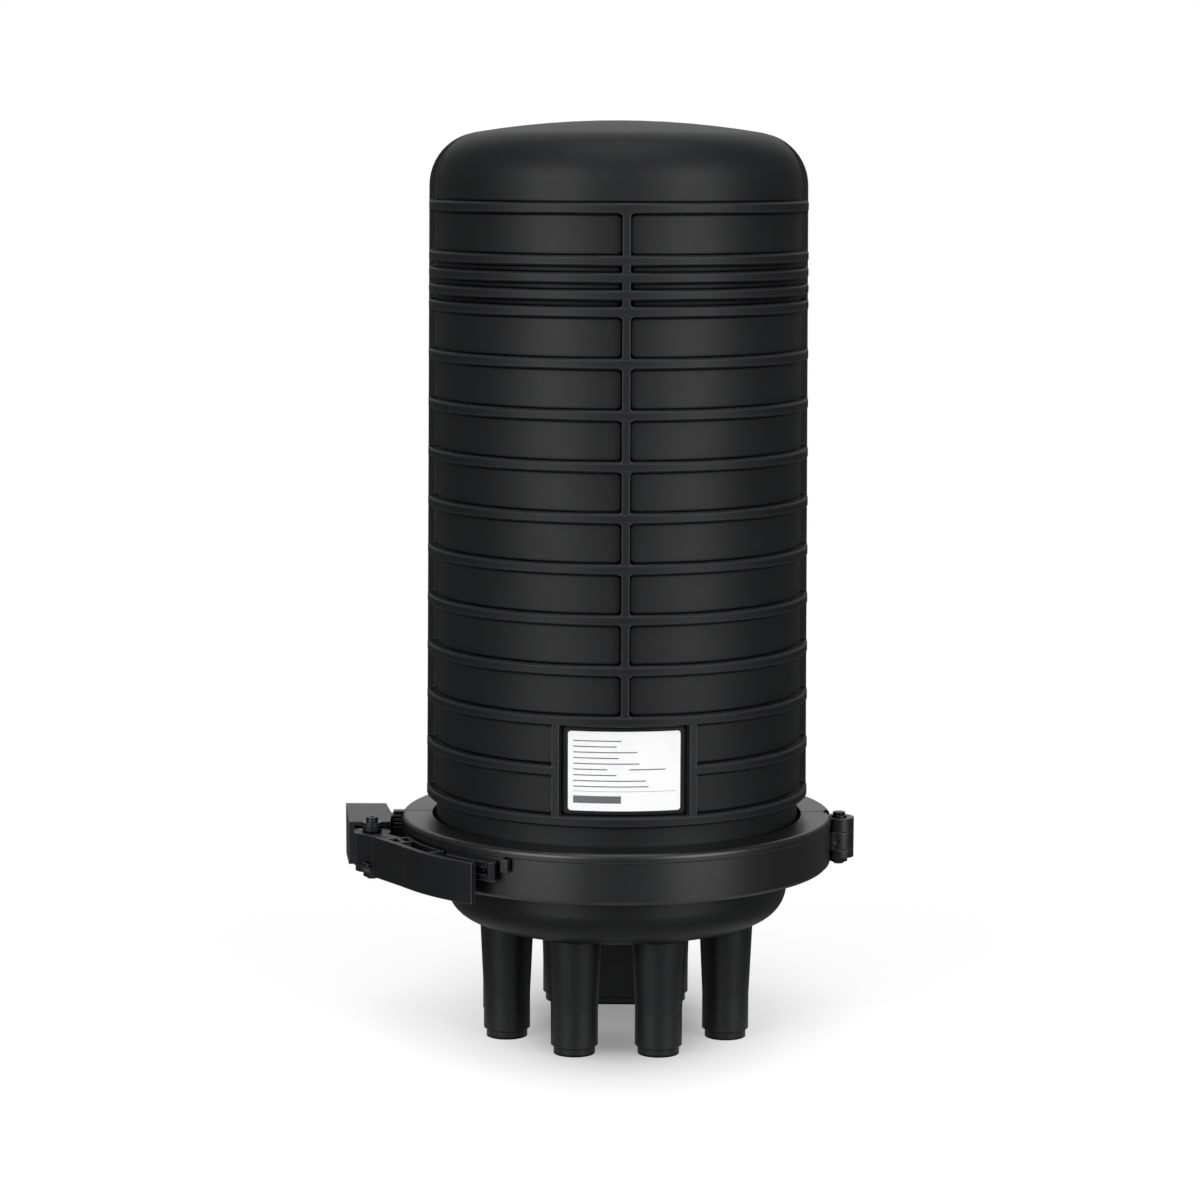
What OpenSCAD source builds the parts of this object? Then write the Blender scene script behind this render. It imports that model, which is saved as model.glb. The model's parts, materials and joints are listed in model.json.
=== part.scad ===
// Dome splice closure: a ribbed cap over a stack of splice trays, clamped to a
// base with one oval and six round cable ports by a hinged ring with a lever latch.
// Millimetres. Z is the axis of the dome and the port tips stand on z = 0.
// The hinge of the ring lies towards +X, the lever lies along its front, towards -Y.

/* [Base and ports] */
// Length of the ports below the bowl
port_len = 59; // [45:1:90]
// Outer radius of a round port over its straight end
port_r = 11.8; // [10:0.1:12.5]
// Bore radius of a round port
port_bore_r = 9; // [6:0.1:9.5]
// Length of the straight end that a sleeve is shrunk on
port_straight = 22; // [12:1:35]
// Outer radius of a round port where it meets the bowl
port_root_r = 13.6; // [12.6:0.1:14]
// Outer radius of the stepped tip of a round port
port_tip_r = 10.4; // [9.8:0.1:11]
// Height of the stepped tip
port_tip_h = 4.5; // [3:0.5:8]
// Thickness of the closed end of a port
port_end_t = 2.5; // [1.5:0.1:4]
// How far the circle of the ports lies inside the bowl's wall
port_inset = 27.2; // [25.5:0.1:30]
// Half the distance between the two bores' centres in the oval port
oval_half = 23; // [16:0.5:24]
// How far the oval port grows beyond a round one all around
oval_extra = 3.7; // [0:0.1:4.5]
// How far the bowl's wall lies inside the flange's rim
bowl_inset = 17.8; // [16.5:0.1:19]
// Depth of the bowl below its flange
bowl_h = 32.5; // [28:0.5:45]
// Rounding between the bowl's wall and its floor
bowl_round = 16; // [10:0.5:18]
// Wall of the bowl and its floor
bowl_wall = 4; // [3:0.1:5]
// Height of the bosses that carry the support plate
boss_h = 20.5; // [16:0.5:30]
// Radius of those bosses
boss_r = 5; // [4:0.1:6]

/* [Joint] */
// How far the two flanges reach beyond the neck
flange_reach = 12.8; // [11:0.1:14]
// Thickness of a flange at its root
flange_t = 7.4; // [6:0.1:9]
// How much thinner a flange is at its rim
flange_taper = 1.2; // [0.5:0.1:2]
// Gap that the seal holds between the flanges
seal_gap = 0.6; // [0.2:0.1:1.5]
// How far the seal's cord lies inside the flange's rim
seal_inset = 6.5; // [5.5:0.1:7.5]
// Height of the squeezed cord
seal_h = 5.1; // [4.2:0.1:6]

/* [Dome] */
// Radius over the ribs at the top rib
dome_r = 95; // [94:0.1:96]
// Growth of the radius for each millimetre down
draft = 0.0071; // [0.004:0.0001:0.01]
// Depth of the panels below the ribs
panel_depth = 4; // [2.5:0.1:4.5]
// Wall of the dome at the panels
dome_wall = 3.5; // [3:0.1:4]
// How far the plain neck lies inside the top rib
neck_in = 2.8; // [2:0.1:3.5]
// Height from the seal to the lowest rib
neck_h = 23; // [20:0.5:30]
// Number of panel rows below the fine ribs
rows = 10; // [8:1:11]
// Pitch of the panel rows
row_pitch = 24.65; // [23:0.05:26]
// Height of a rib
rib_h = 5.1; // [4:0.1:6]
// Chamfer on the edges of a rib
rib_edge = 0.8; // [0.3:0.1:1.2]
// Number of fine ribs
fine_ribs = 3; // [2:1:4]
// Pitch of the fine ribs
fine_pitch = 8.15; // [7.5:0.05:9]
// Height of a fine rib
fine_h = 4.9; // [4:0.1:5.5]
// Width of the four upright ribs
upright_w = 3.8; // [3.5:0.1:6]
// How far the upright ribs stay below the level ribs
upright_drop = 0.15; // [0.1:0.05:0.6]
// Rounding where an upright rib meets a level rib
corner_r = 1.2; // [1:0.1:3]
// Height of the crown above the top rib
crown_h = 39.6; // [36:0.1:46]
// Radius of the shallow crown
crown_r = 433; // [380:1:500]
// Radius of the shoulder between crown and wall
shoulder_r = 24; // [20:0.5:27]
// Radius of the upright ribs where they fade into the shoulder
fade_r = 26.5; // [25:0.5:29]
// Turn of the dome in the clamp, in degrees
dome_turn = 2; // [0:0.5:6]

/* [Label] */
// Width of the label across its chord
label_w = 54.6; // [45:0.1:58]
// Height of the label
label_h = 39; // [34:0.1:40]
// Thickness of the label
label_t = 0.3; // [0.2:0.05:0.6]
// Corner radius of the label
label_corner = 1.5; // [0.5:0.1:3]
// Bare margin between the label and its frame
label_margin = 3.2; // [2.5:0.1:5]

/* [Clamp ring] */
// Thickness of the clamp ring's outer wall
ring_wall = 4; // [3.2:0.1:5]
// Height of the ring
ring_h = 25.3; // [24:0.1:28]
// Clearance between the ring's groove and the flanges
ring_clear = 0.4; // [0.3:0.05:0.6]
// Clearance between the ring's lips and the neck or bowl
lip_clear = 2.1; // [1:0.1:3]
// Rounding along the upper outer edge
ring_round = 2.4; // [1:0.1:3]
// Step below the rounded band
ring_step = 0.5; // [0.2:0.1:0.8]
// Height of the rounded band
ring_band = 4.4; // [4:0.1:6]
// Gap between the two halves at each end
split_gap = 0.8; // [0.5:0.1:1.5]

/* [Hinge] */
// How far the hinge's axis lies outside the ring
hinge_out = 4.2; // [3.7:0.1:6.2]
// Outer radius of the knuckles
knuckle_r = 7.7; // [6.5:0.1:8.5]
// Height of the middle knuckle
knuckle_mid = 9; // [7:0.1:10]
// Height of the upper knuckle
knuckle_top = 6.8; // [5:0.1:7.5]
// Height of the lower knuckle
knuckle_low = 4; // [3:0.1:5]
// Top of the hinge below the top of the ring
hinge_drop = 2.5; // [2:0.1:4]
// Radius of the hinge bolt's shank
hinge_bolt_r = 2.5; // [2:0.1:3]
// Radial clearance of a turning bore on its bolt
run_clear = 0.05; // [0.02:0.01:0.1]
// Gap between parts that turn past each other
side_gap = 0.3; // [0.2:0.05:0.5]

/* [Latch] */
// How far the lever's bolt lies outside the ring, along the split
latch_out = 14.2; // [13.2:0.1:16]
// How far the lever's bolt lies in front of the split
latch_front = 21; // [20:0.1:23]
// Radius of the lever bolt's shank
lever_bolt_r = 2.5; // [2:0.1:2.8]
// Radius of the lever's hub
hub_r = 10.4; // [9.5:0.1:10.8]
// Height of the collar under the lever bolt's head
collar_h = 3.3; // [0.8:0.1:4]
// Height of the lever
lever_h = 20.5; // [19:0.1:22]
// Lower edge of the lever below the lower edge of the ring
lever_low = 1.5; // [0.5:0.1:3]
// How far the lever's long wall stands outside the link
lever_reach = 9.2; // [8.3:0.1:11]
// Thickness of the lever's long wall
lever_wall = 3; // [2:0.1:3.5]
// Thickness of the lever's thin walls
cell_wall = 1.6; // [1.2:0.1:2.2]
// Distance between the lever's bolt and the link's pin
crank_r = 8; // [7.5:0.1:8.2]
// Radius of the link's pin
link_pin_r = 1.5; // [1:0.1:1.8]
// Distance from the ring's wall to the middle of the link
link_out = 3.4; // [3:0.1:3.7]
// Width of the link's two bars
link_w = 3.5; // [2.5:0.1:3.6]
// Height of the link's two bars
link_t = 2.4; // [1.8:0.1:2.6]
// Open height between the link's two bars
link_window = 5.6; // [5:0.1:6]
// How much the link's fork is raised over the bars that lead to it
fork_rise = 3.15; // [2.5:0.05:3.3]
// Thickness of the fork's two prongs
fork_t = 3; // [2:0.1:3.1]
// Radius of the post that hooks behind the catch
post_r = 2.2; // [1.8:0.1:2.4]
// Gap between the post and the catch, where the closed linkage is open
post_gap = 2.7; // [2.5:0.1:3.2]
// Overlap of the catch and the post
catch_grip = 1.5; // [1:0.1:1.6]

/* [Inner frame] */
// Thickness of the support plate
plate_t = 2; // [1.5:0.1:3]
// Clearance between the support plate and the bowl
plate_clear = 3; // [2:0.5:5]
// Half the distance between the bosses across
boss_x = 28; // [26:0.5:30]
// Front bosses in front of the axis
boss_front = 14; // [11:0.5:17]
// Rear bosses behind the axis
boss_rear = 18; // [14:0.5:20]
// Width of the frame's strip
strip_w = 15; // [12:0.5:16]
// Middle of the frame's legs behind the axis
leg_y = -2.5; // [-3:0.1:-2]
// Thickness of the frame's strip
strip_t = 2.5; // [2:0.1:3]
// Inner bend radius of the strip
bend_r = 4; // [3:0.5:6]
// Free height between the frame and the shoulder of the dome
head_room = 6; // [4:0.5:12]

/* [Trays] */
// Number of splice trays
trays = 6; // [3:1:6]
// How far the trays' sides lie inside the dome's top rib
tray_inset = 39; // [38:0.5:45]
// Pitch of the trays in the stack
tray_pitch = 10.5; // [10:0.1:11]
// Depth of a tray
tray_d = 8.8; // [7.5:0.1:9.2]
// Step between the hinges of neighbouring trays
tray_step = 9; // [8:0.5:10]
// Front face of the stack in front of the axis
stack_front = 50; // [46:0.5:51]
// Wall of a tray
tray_wall = 1.6; // [1.2:0.1:2]
// Corner radius of a tray
tray_corner = 14; // [8:0.5:18]
// Radius of a tray's hinge stubs
stub_r = 2; // [1.5:0.1:2.4]
// Height of the carrier's lowest hinge above the support plate
carrier_h = 30; // [26:0.5:40]
// Thickness of the carrier's cheeks and steps
cheek_t = 2.4; // [2:0.1:3]
// Clearance between a tray and the carrier's cheek
cheek_gap = 0.5; // [0.3:0.1:0.6]
// Width of a splice holder
holder_w = 50; // [40:1:60]
// Length of a splice holder
holder_l = 62; // [50:1:70]
// Number of channels in a splice holder
channels = 12; // [6:1:12]
// Width of the hook-and-loop strap
strap_w = 20; // [14:1:30]
// Thickness of the hook-and-loop strap
strap_t = 1.8; // [1.2:0.1:2.2]

/* [Storage basket] */
// How much the basket is narrower than the trays on each side
basket_inset = 6; // [4:0.5:16]
// Depth of the basket
basket_d = 30; // [20:1:34]
// Height of the basket
basket_h = 215; // [170:1:230]
// Height of the basket's floor above the support plate
basket_lift = 22; // [18:0.5:40]
// Wall of the basket
basket_t = 2.2; // [1.8:0.1:3]

/* [Hidden] */
$fn = 96;
eps = 0.01;
big = 400;
joint_z = port_len + bowl_h + flange_t + seal_gap / 2;
base_top = joint_z - seal_gap / 2;
dome_low = joint_z + seal_gap / 2;
floor_z = port_len + bowl_wall;

// radii, from the dome outwards and down
neck_r = dome_r - neck_in;
flange_r = neck_r + flange_reach;
seal_ring_r = flange_r - seal_inset;
bowl_r = flange_r - bowl_inset;
port_circle_r = bowl_r - port_inset;
groove_r = flange_r + ring_clear + 0.4;
ring_r = groove_r + ring_wall;
link_r = ring_r + link_out;
lever_out_r = link_r + lever_reach;
hinge_x = ring_r + hinge_out;
latch_x = -ring_r - latch_out;
latch_y = -latch_front;
tray_w = 2 * (dome_r - tray_inset);
basket_w = tray_w - 2 * basket_inset;

// ribs of the dome
first_rib = joint_z + neck_h;
last_row_rib = first_rib + rows * row_pitch;
top_fine_rib = last_row_rib + fine_ribs * fine_pitch;
top_rib = top_fine_rib + row_pitch;
apex_z = top_rib + rib_h + crown_h;
crown_c = apex_z - crown_r;
function crest_r(z) = dome_r + draft * (top_rib - z);
function panel_r(z) = crest_r(z) - panel_depth;
function tangent_z(rw, rs, rc, zc) = zc + sqrt(pow(rc - rs, 2) - pow(rw - rs, 2));
wall_top_r = panel_r(top_rib + rib_h);
shoulder_z = tangent_z(wall_top_r, shoulder_r, crown_r, crown_c);
inner_top_r = wall_top_r - dome_wall;
inner_low_r = neck_r - dome_wall;

// label window
window_low = first_rib + rib_h;
window_top = first_rib + 2 * row_pitch;
label_r = panel_r((window_low + window_top) / 2);
label_seat = 0.1;
window_half = asin((label_w / 2 + label_margin) / label_r);
post_angle = window_half + asin(upright_w / 2 / label_r);

// clamp ring
ring_mid = joint_z;
ring_low = ring_mid - ring_h / 2;
ring_top = ring_mid + ring_h / 2;
groove_root = flange_t + seal_gap / 2 + ring_clear;
groove_rim = groove_root - flange_taper;

// hinge
knuckle_z2 = ring_top - hinge_drop - knuckle_top;
knuckle_z1 = knuckle_z2 - side_gap - knuckle_mid;
knuckle_z0 = knuckle_z1 - side_gap - knuckle_low;
hinge_head_h = 2.6;
hinge_head_r = 4;
hinge_nut_h = 2.7;
relief_r = knuckle_r + 0.5;

// latch
function polar(r, a) = [r * cos(a), r * sin(a)];
lever_z0 = ring_low - lever_low;
lever_z1 = lever_z0 + lever_h;
ear_z0 = lever_z0 + 0.4;
ear_t = 3.2;
hub_z0 = ear_z0 + ear_t + side_gap;
disc_t = 2.5;
link_z0 = hub_z0 + disc_t + side_gap;
link_z1 = link_z0 + 2 * link_t + link_window;
deck_z = link_z1 + side_gap;
fork_z1 = link_z1 + fork_rise;
fork_z0 = link_z0 + fork_rise + 1;
collar_r = 4.9;
collar_z = lever_z1 + collar_h;
washer_z = collar_z + 0.15;
washer_t = 1;
washer_r = 5;
crank_a = 140;
latch = [latch_x, latch_y];
crank = latch + polar(crank_r, crank_a);
lobe_r = 3.4;
joint_bulge = 0.2;
link_turn_a = 30;
link_join_a = -163;
post_a = -122.5;
post_line_r = link_r + 0.8;
catch_r = post_line_r - post_r + catch_grip;
function arc_a(len, r) = len / r * 180 / PI;
catch_a = post_a - arc_a(post_r + post_gap, catch_r);
catch_len = 5;
fence_a = post_a + arc_a(post_r + post_gap, catch_r);
fence_len = 3.5;
riser_a = -136;
lever_tip_a = -125.3;
lever_bend_a = -150;
knee_a = -163.8;
knee_out = 6;
cell_start_a = -160;
cell_end_a = -141;
cell_mid_a = -155;
rail_in_r = ring_r + 0.9;
rib_in_r = link_r + link_w / 2 + 1.4;
heel_y = latch_y + 12.5;
heel_back = 19;
heel_left = latch_x - 16.2;
heel_right = latch_x + 8.5;
heel_t = 3;
heel_slope = 4.5;

// inner frame and trays
plate_z = floor_z + boss_h;
plate_top = plate_z + plate_t;
screw_r = 1.6;
screw_head_r = 3.2;
screw_head_h = 2.2;
leg_in = tray_w / 2 + cheek_gap + cheek_t + 0.2;
leg_out = leg_in + strip_t;
frame_top = shoulder_z - head_room;
foot_l = 17;
stack_depth = trays * tray_pitch;
back_y = -stack_front + stack_depth;
carrier_z = plate_top + carrier_h;
tray_top = frame_top - strip_t - 4;
function tray_y(i) = -stack_front + (i - 1) * tray_pitch;
function hinge_z(i) = carrier_z + (i - 1) * tray_step;
tray_l = tray_top - hinge_z(trays) - 2;
cover_t = 1.2;
holder_t = 5.5;
basket_y = back_y + cheek_t;
basket_z = plate_top + basket_lift;
plate_screw_l = 9;
anchor_screw_l = 6;
anchor_gap = 7;

ports = [for (a = [-110.5, -69.5, -158, -22, 163, 17]) a];

// ---------- shared shapes ----------

// A ring cut out by two radii
module tube(r1, r0, h) {
    difference() {
        cylinder(r = r1, h = h);
        translate([0, 0, -1]) cylinder(r = r0, h = h + 2);
    }
}

// A bar of even width between two points in plan
module bar(p, q, w, z0, z1) {
    d = q - p;
    n = w / 2 / norm(d) * [-d[1], d[0]];
    translate([0, 0, z0]) linear_extrude(z1 - z0) polygon([p + n, p - n, q - n, q + n]);
}

// A curved bar about a centre, from one angle to another
module curved_bar(c, r, w, a0, a1, z0, z1) {
    far = 2 * r;
    translate([c[0], c[1], z0]) intersection() {
        tube(r + w / 2, r - w / 2, z1 - z0);
        translate([0, 0, -1]) linear_extrude(z1 - z0 + 2)
            polygon([[0, 0], polar(far, a0), polar(far, (a0 + a1) / 2), polar(far, a1)]);
    }
}

// A rectangle with round corners, centred across and standing on y = 0
module round_rect(w, h, r) {
    translate([-w / 2 + r, 0]) square([w - 2 * r, h]);
    translate([-w / 2, r]) square([w, h - 2 * r]);
    for (x = [-w / 2 + r, w / 2 - r], y = [r, h - r]) translate([x, y]) circle(r);
}

// A pan-head screw, with its head's underside on z = 0 and its shank below
module screw(len) {
    cylinder(r = screw_head_r, h = screw_head_h);
    translate([0, 0, -len]) cylinder(r = screw_r, h = len + eps);
}

// ---------- base ----------

// Outer half profile of the bowl and its flange
module base_profile() {
    difference() {
        union() {
            translate([0, port_len]) square([bowl_r - bowl_round, bowl_h + flange_t]);
            translate([0, port_len + bowl_round]) square([bowl_r, bowl_h + flange_t - bowl_round]);
            translate([bowl_r - bowl_round, port_len + bowl_round]) circle(bowl_round);
            polygon([[bowl_r - 1, base_top], [flange_r, base_top],
                     [flange_r, base_top - flange_t + flange_taper],
                     [bowl_r + 3, base_top - flange_t], [bowl_r - 1, base_top - flange_t]]);
        }
        translate([0, floor_z]) square([bowl_r - bowl_round, bowl_h + flange_t]);
        translate([0, port_len + bowl_round]) square([bowl_r - bowl_wall, bowl_h + flange_t]);
        translate([bowl_r - bowl_round, port_len + bowl_round]) circle(bowl_round - bowl_wall);
        translate([seal_ring_r - seal_groove_w / 2, base_top - seal_groove_d])
            square([seal_groove_w, seal_groove_d + 1]);
        translate([-big, 0]) square([big, big]);
    }
}
seal_groove_d = seal_h - seal_gap;
seal_groove_w = seal_h + 1.2;

// One round port, closed at its tip, without its bore
module round_port() {
    cylinder(r = port_tip_r, h = port_tip_h + eps);
    translate([0, 0, port_tip_h]) cylinder(r = port_r, h = port_straight - port_tip_h + eps);
    translate([0, 0, port_straight])
        cylinder(r1 = port_r, r2 = port_root_r, h = port_len - port_straight + 1);
}

// A level slice of the oval port, between two radii about its two centres
module oval_slice(r1, r2, z0, z1) {
    for (x = [-oval_half, oval_half])
        translate([x, 0, z0]) cylinder(r1 = r1, r2 = r2, h = z1 - z0);
    translate([-oval_half, 0, 0]) rotate([90, 0, 90]) linear_extrude(2 * oval_half)
        polygon([[-r1, z0], [r1, z0], [r2, z1], [-r2, z1]]);
}

// Middle of the oval port behind the axis
oval_y = port_circle_r - 6;

module oval_port() {
    tip = port_tip_r + oval_extra;
    low = port_r + oval_extra;
    oval_slice(tip, tip, 0, port_tip_h + eps);
    oval_slice(low, low, port_tip_h, port_straight + eps);
    oval_slice(low, low + 1.2, port_straight, port_len + 1);
}

module base() {
    color("#1c1d20") difference() {
        union() {
            rotate_extrude() base_profile();
            for (a = ports) translate(concat(polar(port_circle_r, a), 0)) round_port();
            translate([0, oval_y, 0]) oval_port();
            for (p = boss_points) translate([p[0], p[1], floor_z - 1]) cylinder(r = boss_r, h = boss_h + 1);
        }
        for (a = ports) translate(concat(polar(port_circle_r, a), port_end_t))
            cylinder(r = port_bore_r, h = big);
        translate([0, oval_y, 0])
            oval_slice(port_bore_r + oval_extra, port_bore_r + oval_extra, port_end_t, floor_z + 1);
        for (p = boss_points) translate([p[0], p[1], plate_z - 12]) cylinder(r = screw_r, h = 13);
    }
}
boss_points = [for (x = [-boss_x, boss_x], y = [-boss_front, boss_rear]) [x, y]];

module seal_ring() {
    color("#2b2b2d") rotate_extrude() translate([seal_ring_r, base_top - seal_groove_d + seal_h / 2]) {
        translate([-0.4, 0]) circle(seal_h / 2);
        translate([0.4, 0]) circle(seal_h / 2);
        square([0.8, seal_h], center = true);
    }
}

// ---------- dome ----------

// Half profile of a shell with a drafted wall, a round shoulder and a shallow crown
module bullet(low_z, low_r, wall_r, rs, rc, zc) {
    zs = tangent_z(wall_r, rs, rc, zc);
    polygon([[0, low_z], [low_r, low_z], [wall_r, zs], [0, zs]]);
    translate([wall_r - rs, zs]) intersection() {
        circle(rs);
        translate([0, -eps]) square([rs + 1, rs + 1]);
    }
    intersection() {
        translate([0, zc]) circle(rc, $fn = 720);
        polygon([[0, zs - 1], [wall_r - rs, zs - 1], [wall_r - rs, zs],
                 [0, zc] + (rc + 2) / (rc - rs) * [wall_r - rs, zs - zc], [0, zc + rc + 2]]);
    }
}

// Chamfered section of one level rib
module rib_section(z, h) {
    r1 = crest_r(z + h / 2);
    r0 = r1 - panel_depth - 1;
    polygon([[r0, z], [r1 - rib_edge, z], [r1, z + rib_edge],
             [r1, z + h - rib_edge], [r1 - rib_edge, z + h], [r0, z + h]]);
}

module dome_profile() {
    difference() {
        union() {
            bullet(first_rib, panel_r(first_rib), wall_top_r, shoulder_r, crown_r, crown_c);
            translate([0, dome_low]) square([neck_r, neck_h]);
            polygon([[neck_r - 1, dome_low], [flange_r, dome_low],
                     [flange_r, dome_low + flange_t - flange_taper],
                     [neck_r, dome_low + flange_t], [neck_r - 1, dome_low + flange_t]]);
            for (k = [0:rows]) if (k != 1) rib_section(first_rib + k * row_pitch, rib_h);
            for (k = [1:fine_ribs]) rib_section(last_row_rib + k * fine_pitch, fine_h);
            rib_section(top_rib, rib_h);
        }
        bullet(dome_low - 1, inner_low_r, inner_top_r, shoulder_r - dome_wall,
               crown_r - dome_wall, crown_c);
        translate([-big, 0]) square([big, 2 * big]);
    }
}

// Everything out to the face of the upright ribs
module upright_limit() {
    rotate_extrude() difference() {
        bullet(first_rib, crest_r(first_rib) - upright_drop, crest_r(top_rib) - upright_drop,
               fade_r, crown_r - upright_drop, crown_c);
        translate([-big, 0]) square([big, 2 * big]);
    }
}

// Front view of a crossing of an upright and a level rib: its four corners are rounded,
// and only the part of it between z0 and z1 is kept
module crossing(z, z0, z1) {
    w = upright_w / 2 + corner_r;
    intersection() {
        difference() {
            translate([-w, z - corner_r]) square([2 * w, rib_h + 2 * corner_r]);
            for (s = [-1, 1]) for (y = [z - corner_r, z + rib_h + corner_r])
                translate([s * w, y]) circle(corner_r);
        }
        translate([-w, z0]) square([2 * w, z1 - z0]);
    }
}

// A slab that an upright rib is cut from, standing out along an angle,
// with the crossings that the children draw in front view
module upright_slab(a, z0, z1) {
    rotate([0, 0, a]) translate([inner_low_r / 2, 0, 0]) rotate([90, 0, 90]) linear_extrude(dome_r) {
        translate([-upright_w / 2, z0]) square([upright_w, z1 - z0]);
        children();
    }
}

// The crossings of an upright with the rows of level ribs, from one row up
module row_crossings(from, low) {
    for (k = [from:rows]) crossing(first_rib + k * row_pitch, low, top_rib);
    crossing(top_rib, low, top_rib + 1);
}

// All upright ribs, kept outside the wall
module uprights() {
    difference() {
        intersection() {
            upright_limit();
            union() {
                for (a = [0, 180]) upright_slab(a, first_rib, apex_z) row_crossings(0, first_rib + 1);
                upright_slab(90, first_rib, top_rib + 1) row_crossings(0, first_rib + 1);
                upright_slab(-90, window_top, top_rib + 1) row_crossings(2, window_top + 1);
                for (s = [-1, 1]) upright_slab(-90 + s * post_angle, first_rib + 1, window_top + 1);
            }
        }
        rotate_extrude() bullet(dome_low, inner_low_r + 1.5, inner_top_r + 1.5,
            shoulder_r - dome_wall + 1.5, crown_r - dome_wall + 1.5, crown_c);
    }
}

// The second rib stops at the two posts of the label window
module window_rib() {
    difference() {
        rotate_extrude() difference() {
            rib_section(first_rib + row_pitch, rib_h);
            translate([-big, 0]) square([big, 2 * big]);
        }
        linear_extrude(big) polygon([[0, 0], polar(big, -90 - post_angle), polar(big, -90 + post_angle)]);
    }
}

module dome() {
    color("#202124") rotate([0, 0, dome_turn]) {
        rotate_extrude() dome_profile();
        uprights();
        window_rib();
    }
}

module label() {
    z0 = (window_low + window_top - label_h) / 2;
    color("#f4f4f2") rotate([0, 0, dome_turn]) intersection() {
        translate([0, 0, z0 - 1]) difference() {
            cylinder(r1 = panel_r(z0 - 1) + label_seat + label_t,
                     r2 = panel_r(z0 + label_h + 1) + label_seat + label_t, h = label_h + 2);
            translate([0, 0, -eps])
                cylinder(r1 = panel_r(z0 - 1) + label_seat, r2 = panel_r(z0 + label_h + 1) + label_seat,
                         h = label_h + 2 + 2 * eps);
        }
        translate([0, 0, z0]) rotate([90, 0, 0]) linear_extrude(big)
            round_rect(label_w, label_h, label_corner);
    }
}

// ---------- clamp ring ----------

module ring_profile() {
    difference() {
        union() {
            translate([neck_r, ring_low]) square([ring_r - ring_step - neck_r - 1.5, ring_h - ring_round]);
            translate([neck_r, ring_low + 1.5])
                square([ring_r - ring_step - neck_r, ring_h - ring_band - 1]);
            polygon([[neck_r, ring_low], [ring_r - ring_step - 1.5, ring_low],
                     [ring_r - ring_step, ring_low + 1.5], [neck_r, ring_low + 1.5]]);
            translate([neck_r, ring_top - ring_band]) square([ring_r - neck_r, ring_band - ring_round]);
            translate([neck_r, ring_low + 1]) square([ring_r - ring_round - neck_r, ring_h - 1]);
            translate([ring_r - ring_round, ring_top - ring_round]) circle(ring_round);
            translate([bowl_r + lip_clear, ring_low]) square([neck_r + 1 - bowl_r - lip_clear, 8]);
        }
        translate([0, ring_mid]) square([neck_r + lip_clear, big]);
        polygon([[0, ring_mid + groove_root], [neck_r, ring_mid + groove_root],
                 [groove_r, ring_mid + groove_rim], [groove_r, ring_mid - groove_rim],
                 [bowl_r + 3, ring_mid - groove_root], [0, ring_mid - groove_root]]);
    }
}

// One half of the ring, on the side of y that s gives
module ring_half(s) {
    intersection() {
        rotate_extrude() ring_profile();
        translate([-big / 2, s > 0 ? split_gap / 2 : -big - split_gap / 2, 0])
            cube([big, big, big]);
    }
}

// A knuckle and the block that ties it to the ring on side s
module knuckle(s, z0, h) {
    block = relief_r - 1.2;
    translate([hinge_x, 0, z0]) cylinder(r = knuckle_r, h = h);
    translate([groove_r + 0.6, s > 0 ? split_gap / 2 : -block - split_gap / 2, z0])
        cube([hinge_x - groove_r - 0.6, block, h]);
    translate([hinge_x, 0, z0]) intersection() {
        cylinder(r = knuckle_r, h = h);
        translate([0, s > 0 ? 0 : -knuckle_r, 0]) cube([knuckle_r, knuckle_r, h]);
    }
}

// Room around the hinge for the knuckles of the other half
module hinge_relief(z0, z1) {
    translate([hinge_x, 0, z0]) cylinder(r = relief_r, h = z1 - z0);
}

module hinge_bore(z0, z1) {
    translate([hinge_x, 0, z0 - 1]) cylinder(r = hinge_bolt_r + run_clear, h = z1 - z0 + 2);
}

module clamp_front() {
    color("#242528") difference() {
        union() {
            difference() {
                ring_half(-1);
                hinge_relief(ring_low - 1, knuckle_z1);
                hinge_relief(knuckle_z1 + knuckle_mid, ring_top + 1);
            }
            knuckle(-1, knuckle_z1, knuckle_mid);
            difference() {
                catch_block(catch_a, -catch_len, catch_r, fork_z0 + fork_t + 0.4, fork_z1 - fork_t - 0.4);
                cylinder(r = groove_r + 1, h = big);
            }
            difference() {
                catch_block(fence_a, fence_len, catch_r, fork_z0 + fork_t + 1.8, fork_z1 + 1.5);
                cylinder(r = groove_r + 1, h = big);
            }
        }
        hinge_bore(knuckle_z1, knuckle_z1 + knuckle_mid);
        translate([ring_r - 0.6, -relief_r, knuckle_z1 + knuckle_mid / 2]) rotate([90, 0, 0])
            translate([3.5, 0, -1]) cylinder(r = 1.5, h = 4);
    }
}

// A block that stands out from the ring, from one angle over a length
module catch_block(a, len, r, z0, z1) {
    a1 = a + arc_a(len, r);
    translate([0, 0, z0]) rotate([0, 0, min(a, a1)]) rotate_extrude(angle = abs(a1 - a))
        translate([groove_r, 0]) square([r - groove_r, z1 - z0]);
}

// Plan of the heel that reaches over the lever's end
module heel_plan() {
    polygon([[heel_left + 3.4, heel_y], [heel_left, heel_back], [heel_right - 4, heel_back],
             [heel_right, heel_y + 12], [heel_right, heel_y]]);
}

// A prism along X between two places, from its outline in Y and Z
module heel_cut(x0, x1, outline) {
    translate([x0, 0, 0]) rotate([90, 0, 90]) linear_extrude(x1 - x0) polygon(outline);
}

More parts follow.
